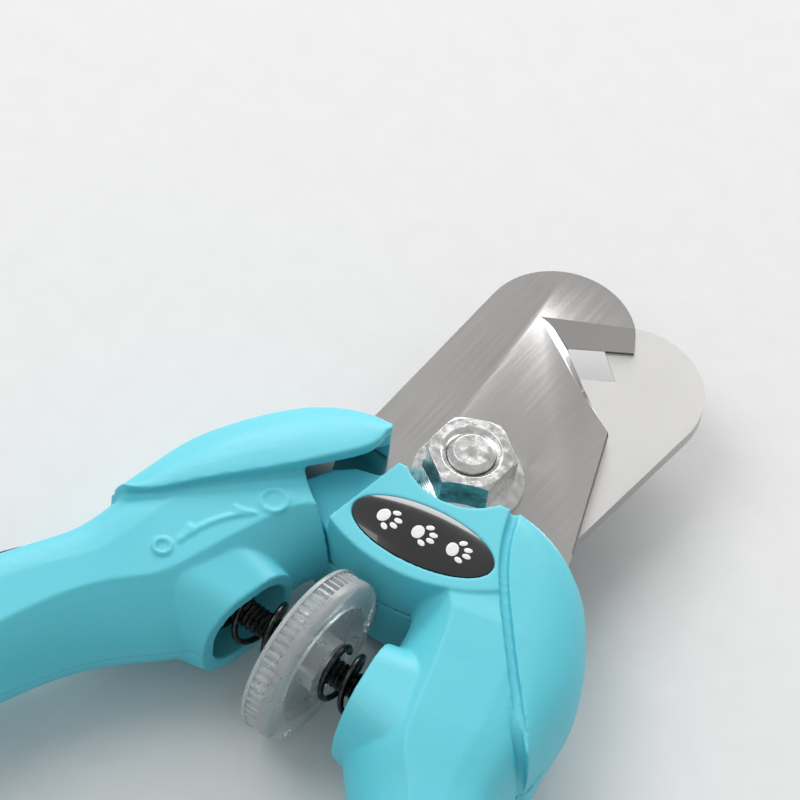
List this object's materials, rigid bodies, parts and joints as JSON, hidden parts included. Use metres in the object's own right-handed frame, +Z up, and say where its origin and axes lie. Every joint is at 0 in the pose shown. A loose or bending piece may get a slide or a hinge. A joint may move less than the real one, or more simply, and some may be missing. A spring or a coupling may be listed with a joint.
{
  "type": "pet nail clipper",
  "caption": "Plier-type pet claw clipper: two notched blades on one bolt, plastic handles, and a thumb wheel on a sprung rod that sets the opening.",
  "frame": {"origin": "centre of the base of the bounding box, on the surface the clipper lies on", "axes": "+Y from the handle ends to the blade tips along the line between the handles, +Z up along the pivot bolt towards its nut, +X to the right seen from above"},
  "size_m": [0.1, 0.162, 0.022],
  "materials": {
    "turquoise_plastic": "fine satin moulded surface",
    "blade_steel": "polished stainless",
    "plated_steel": "bright zinc plate",
    "black_rubber": "soft matte",
    "badge_black": "domed gloss",
    "pin_steel": "plain",
    "black_steel": "black oxide",
    "spring_steel": "black oiled wire",
    "clear_plastic": "clear moulded acrylic"
  },
  "bodies": {
    "left_handle": {"left_handle_top": "turquoise_plastic", "left_handle_bottom": "turquoise_plastic", "lower_blade": "blade_steel", "pivot_bolt": "plated_steel", "pivot_nut": "plated_steel", "pivot_washer": "plated_steel", "left_grip_inlay": "black_rubber", "bottom_badge": "badge_black", "left_blade_pins": "pin_steel", "left_shell_screws": "pin_steel"},
    "right_handle": {"right_handle_top": "turquoise_plastic", "right_handle_bottom": "turquoise_plastic", "upper_blade": "blade_steel", "right_grip_inlay": "black_rubber", "top_badge": "badge_black", "right_blade_pins": "pin_steel", "right_shell_screws": "pin_steel"},
    "left_swivel": {"left_swivel": "black_steel", "left_spring": "spring_steel"},
    "left_rod": {"left_rod": "black_steel"},
    "wheel": {"thumb_wheel": "clear_plastic"},
    "right_rod": {"right_rod": "black_steel"},
    "right_swivel": {"right_swivel": "black_steel", "right_spring": "spring_steel"}
  },
  "joints": [
    {"name": "handle_hinge", "type": "hinge", "parent": "left_handle", "child": "right_handle", "pos_m": [0, 0.04496, 0.011], "axis": [0, 0, -1], "range_deg": [0, 24.2], "stiffness_Nm_per_rad": 0.8, "springref_deg": -11.46},
    {"name": "left_swivel_turn", "type": "hinge", "parent": "left_handle", "child": "left_swivel", "pos_m": [-0.016, 0.01346, 0.011], "axis": [0, 0, -1], "range_deg": [0, 12.1]},
    {"name": "left_rod_slide", "type": "slide", "parent": "left_swivel", "child": "left_rod", "axis": [-1, 0, 0], "range_m": [0, 0.00696], "deforming": ["left_spring", "right_spring"]},
    {"name": "wheel_spin", "type": "hinge", "parent": "left_rod", "child": "wheel", "pos_m": [0, 0.01346, 0.011], "axis": [1, 0, 0], "range_deg": [0, 540]},
    {"name": "right_rod_screw", "type": "slide", "parent": "left_rod", "child": "right_rod", "axis": [1, 0, 0], "range_m": [0, 0.00106]},
    {"name": "right_swivel_turn", "type": "hinge", "parent": "right_handle", "child": "right_swivel", "pos_m": [0.016, 0.01346, 0.011], "axis": [0, 0, 1], "range_deg": [0, 12.1]}
  ],
  "couplings": [
    {"joint": "left_swivel_turn", "follows": "handle_hinge", "ratio": 0.5},
    {"joint": "right_swivel_turn", "follows": "handle_hinge", "ratio": 0.5},
    {"joint": "left_rod_slide", "follows": "handle_hinge", "m_per_rad": 0.016475},
    {"joint": "right_rod_screw", "follows": "wheel_spin", "m_per_rad": 0.00011141}
  ]
}
